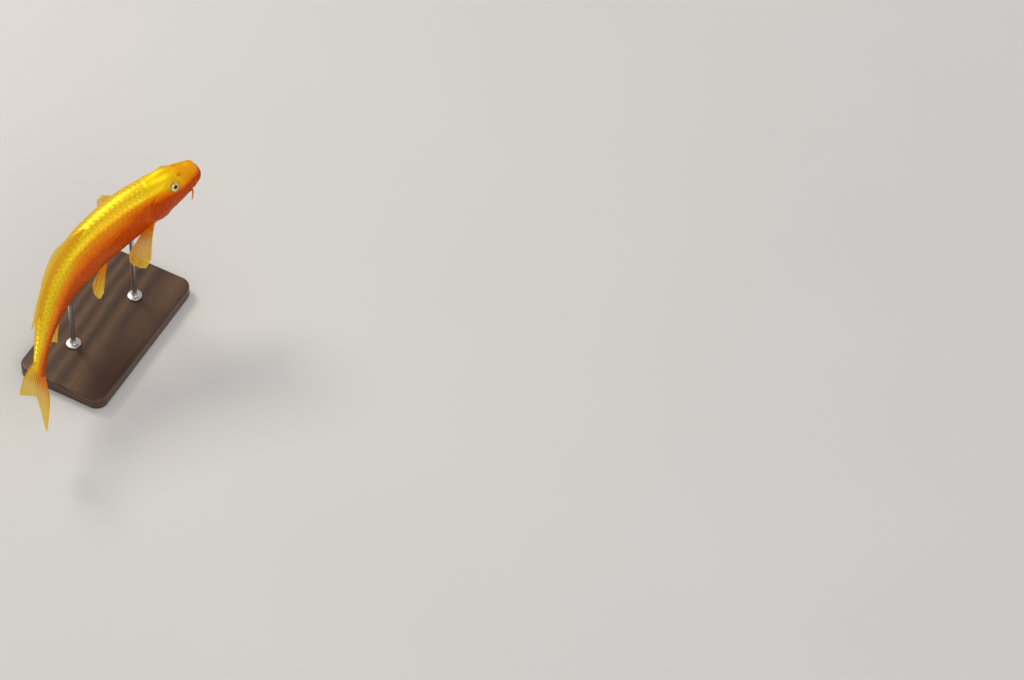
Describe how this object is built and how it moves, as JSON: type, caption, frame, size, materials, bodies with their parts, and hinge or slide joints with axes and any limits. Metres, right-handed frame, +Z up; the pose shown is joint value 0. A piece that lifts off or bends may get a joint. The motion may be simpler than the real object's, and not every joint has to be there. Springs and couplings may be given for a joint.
{
  "type": "koi carp",
  "caption": "Still life-size yellow ogon koi carp, head raised and body curving to its right, held on two rods over a flat wooden display base.",
  "frame": {"origin": "bottom centre of the bounding box: on the underside plane of the stand's base, z = 0 where it rests", "axes": "+X runs from the tip of the tail to the head, the longest extent; +Z is up; the fish's right flank faces -Y"},
  "size_m": [0.3842, 0.1309, 0.2282],
  "materials": {
    "skin": "wet golden-yellow fish skin",
    "fin": "thin yellow fin membrane",
    "barbel": "soft yellow barbel",
    "eye": "polished wet eye",
    "stand_wood": "dark satin wood",
    "stand_steel": "brushed"
  },
  "bodies": {
    "root": {"head": "skin", "gill_cover_left": "skin", "gill_cover_right": "skin", "trunk_front": "skin", "trunk_rear": "skin", "tail_stalk": "skin", "fin_dorsal": "fin", "fin_anal": "fin", "fin_tail": "fin", "fin_pectoral_left": "fin", "fin_pectoral_right": "fin", "fin_pelvic_left": "fin", "fin_pelvic_right": "fin", "barbel_upper_left": "barbel", "barbel_upper_right": "barbel", "barbel_corner_left": "barbel", "barbel_corner_right": "barbel", "eye_left": "eye", "eye_right": "eye", "stand_base": "stand_wood", "stand_rod_front": "stand_steel", "stand_rod_rear": "stand_steel"}
  },
  "joints": []
}
